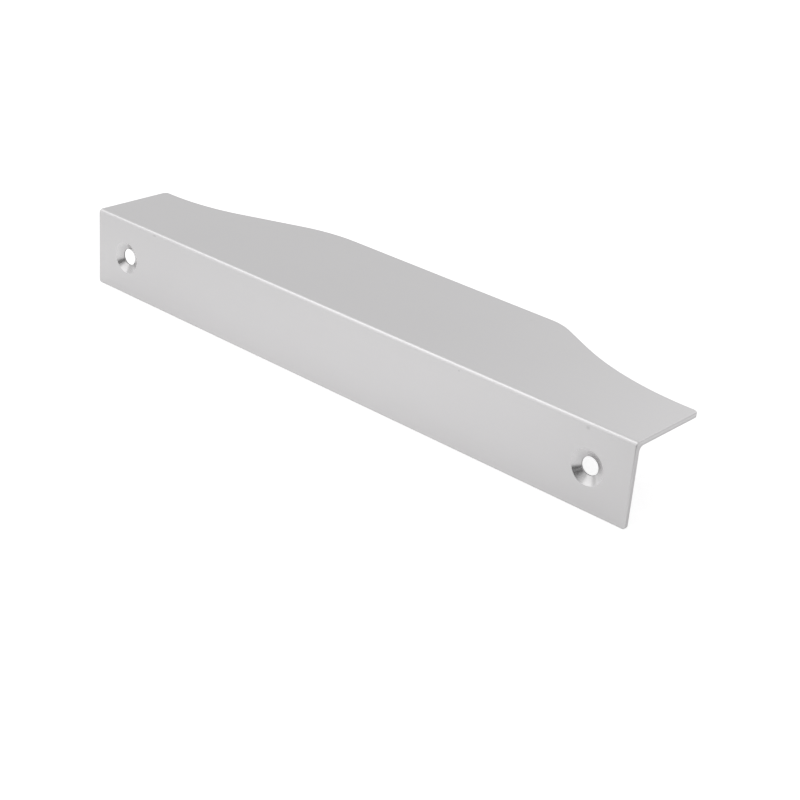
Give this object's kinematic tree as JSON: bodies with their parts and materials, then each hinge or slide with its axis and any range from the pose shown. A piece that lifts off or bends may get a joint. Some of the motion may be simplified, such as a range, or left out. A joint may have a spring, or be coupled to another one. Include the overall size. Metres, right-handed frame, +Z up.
{
  "type": "profile handle",
  "caption": "Edge pull handle cut from aluminium angle: a screw leg with countersunk holes, and a flange over the front's edge whose free side swells into a grip.",
  "frame": {"origin": "on the leg's mounting face, midway between the two screw holes", "axes": "+X along the profile, +Y out of the mounting face towards the grip, +Z up to the flange"},
  "size_m": [0.184, 0.0402, 0.022],
  "materials": {
    "anodised_aluminium": "satin"
  },
  "bodies": {
    "root": {"profile_handle": "anodised_aluminium"}
  },
  "joints": []
}
